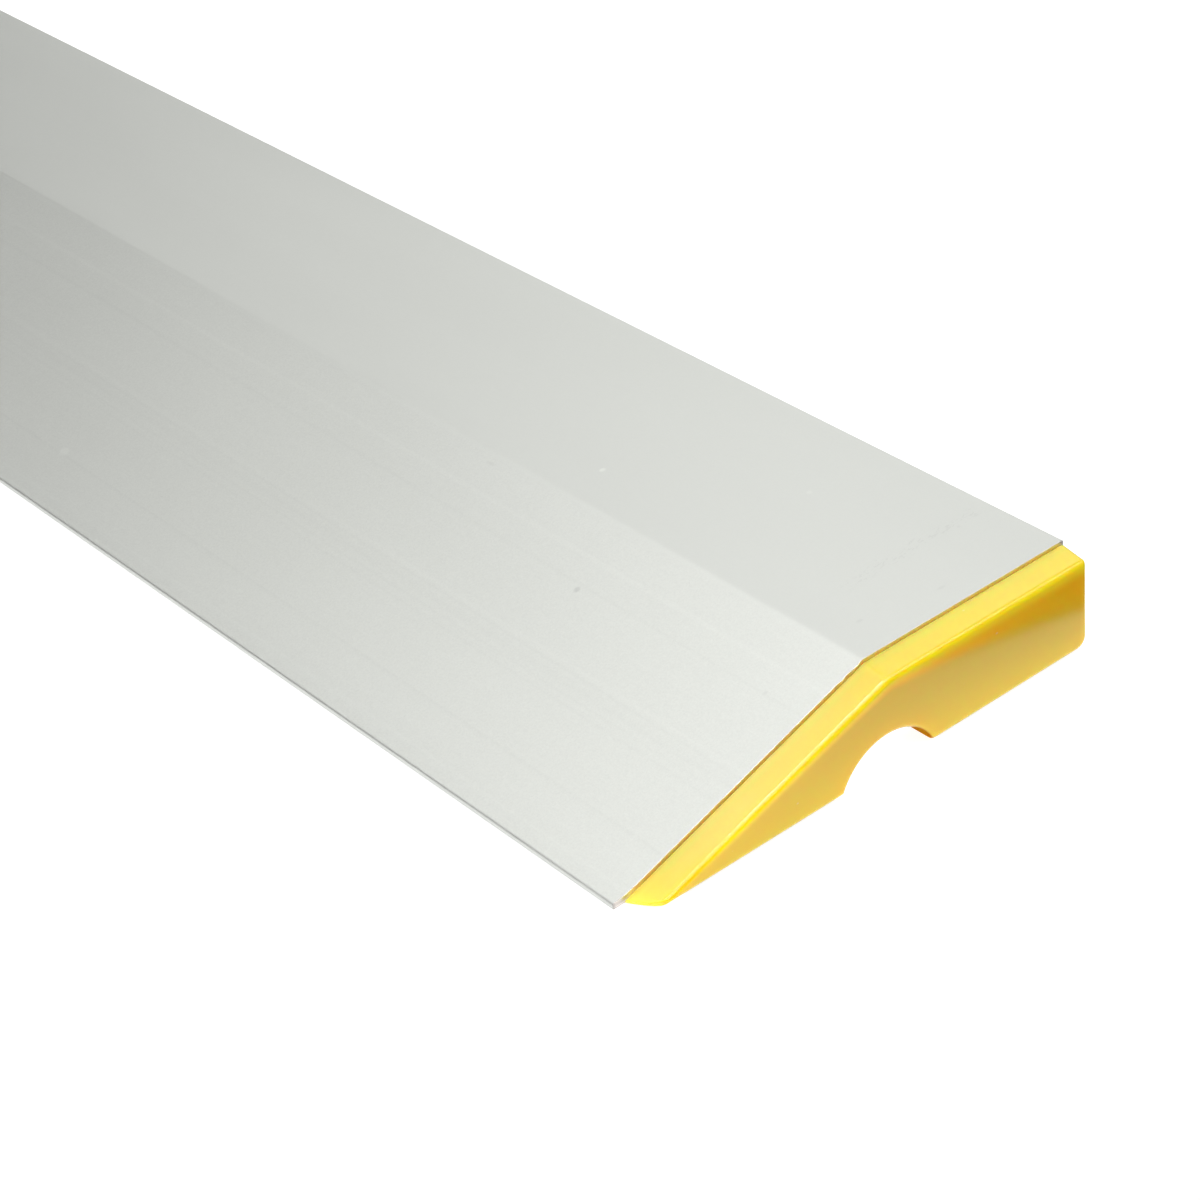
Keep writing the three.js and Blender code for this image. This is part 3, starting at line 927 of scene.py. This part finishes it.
# Painted contact shadow: directly under the two strips it rests on, the table's glow is turned off.
fg = Graph(fnt)
fx = fg.math("ABSOLUTE", fg.x)
under_caps = fg.mul(fg.step(fx, HALF + 4.9, HALF + 4.3), fg.step(fg.w, 10.0, 10.6))
under_bar = fg.mul(fg.step(fx, HALF - 0.2, HALF - 0.8), fg.step(fg.w, 0.2, 0.8))
painted_contact_shadow = fg.mul(
    fg.math("MAXIMUM", under_caps, under_bar),
    fg.math(
        "ADD",
        fg.step(fg.w, 42.6, 42.0),
        fg.mul(fg.step(fg.w, 64.6, 65.4), fg.step(fg.w, 98.9, 98.2)),
    ),
)
# Painted pool of light: the table's glow is brightest around the right end and pale grey farther out.
away = add(fnt, "ShaderNodeVectorMath", operation="LENGTH")
fnt.links.new(
    fg.vector(fg.math("SUBTRACT", fg.x, 430.0), fg.math("SUBTRACT", fg.w, 80.0), 0.0),
    away.inputs[0],
)
painted_light_pool = fg.step(away.outputs["Value"], 820.0, 290.0)
fg.put(
    fg.mul(fg.math("SUBTRACT", 1.0, painted_contact_shadow), fg.math("MULTIPLY_ADD", painted_light_pool, 0.5, 0.4)),
    fp.inputs["Emission Strength"],
)
fnt.links.new(fp.outputs["BSDF"], fo.inputs["Surface"])
floor_mesh.materials.append(fm)

# The room's own floor, well below the table.
low_mesh = bpy.data.meshes.new("low_floor")
low_mesh.from_pydata(
    [(-20, -20, -1.5002), (20, -20, -1.5002), (20, 20, -1.5002), (-20, 20, -1.5002)],
    [],
    [(0, 1, 2, 3)],
)
low_floor = bpy.data.objects.new("low_floor", low_mesh)
scene.collection.objects.link(low_floor)
lm, lnt = material("low_floor_grey")
lo = add(lnt, "ShaderNodeOutputMaterial")
lp = add(lnt, "ShaderNodeBsdfPrincipled")
lp.inputs["Base Color"].default_value = (0.3, 0.3, 0.3, 1)
lp.inputs["Roughness"].default_value = 0.9
lp.inputs["Specular IOR Level"].default_value = 0.0
lnt.links.new(lp.outputs["BSDF"], lo.inputs["Surface"])
low_mesh.materials.append(lm)

world = bpy.data.worlds.new("studio")
scene.world = world
world.use_nodes = True
bg = world.node_tree.nodes["Background"]
bg.inputs["Color"].default_value = (1, 1, 1, 1)
bg.inputs["Strength"].default_value = 0.014


def softbox(name, direction, distance, size, power, colour=(1, 1, 1)):
    d = Vector(direction).normalized()
    target = Vector((0.5, 0.0, 0.0))
    data = bpy.data.lights.new(name, "AREA")
    data.shape = "RECTANGLE"
    data.size, data.size_y = size
    data.energy = power
    data.color = colour
    o = bpy.data.objects.new(name, data)
    o.location = target + d * distance
    o.rotation_mode = "QUATERNION"
    o.rotation_quaternion = (-d).to_track_quat("-Z", "Y")
    scene.collection.objects.link(o)
    return o


def lamp(name, azimuth, elevation, size, power):
    a, e = math.radians(azimuth), math.radians(elevation)
    direction = (math.cos(a) * math.cos(e), math.sin(a) * math.cos(e), math.sin(e))
    return softbox(name, direction, 1.7, (size, size), power)


for name, azimuth, elevation, size, power in (
    ("key", 270, 32, 0.9, 12.66),
    ("end", 0, 54, 0.9, 11.74),
    ("end_rear", 45, 54, 0.9, 9.38),
    ("end_rear_low", 54, 32, 0.9, 2.0),
    ("front_left", 225, 54, 0.9, 3.53),
    ("rear", 90, 54, 0.9, 0.62),
    ("rear_left", 135, 54, 0.9, 2.75),
    ("left", 180, 54, 0.9, 1.68),
    ("rear_left_low", 144, 12, 0.9, 1.52),
    ("rear_low", 126, 32, 0.9, 1.07),
    ("front_low", 288, 12, 0.9, 0.56),
    ("spot_over", 348, 82, 0.22, 6.9),
    ("spot_left", 181, 67, 0.22, 0.54),
):
    lamp(name, azimuth, elevation, size, power)

cam_data = bpy.data.cameras.new("camera")
cam = bpy.data.objects.new("camera", cam_data)
scene.collection.objects.link(cam)
scene.camera = cam
cam_data.sensor_width = 36.0
cam_data.lens = 92.877
cam_data.clip_start, cam_data.clip_end = 0.01, 50
right = Vector((0.64183111, 0.76168329, -0.08883354))
down = Vector((0.38277232, -0.41859351, -0.82356835))
ahead = Vector((-0.66448339, 0.49458877, -0.56021761))
cam.matrix_world = Matrix.Translation((0.89464, -0.26547, 0.30391)) @ Matrix(
    (
        (right.x, -down.x, -ahead.x),
        (right.y, -down.y, -ahead.y),
        (right.z, -down.z, -ahead.z),
    )
).to_4x4()
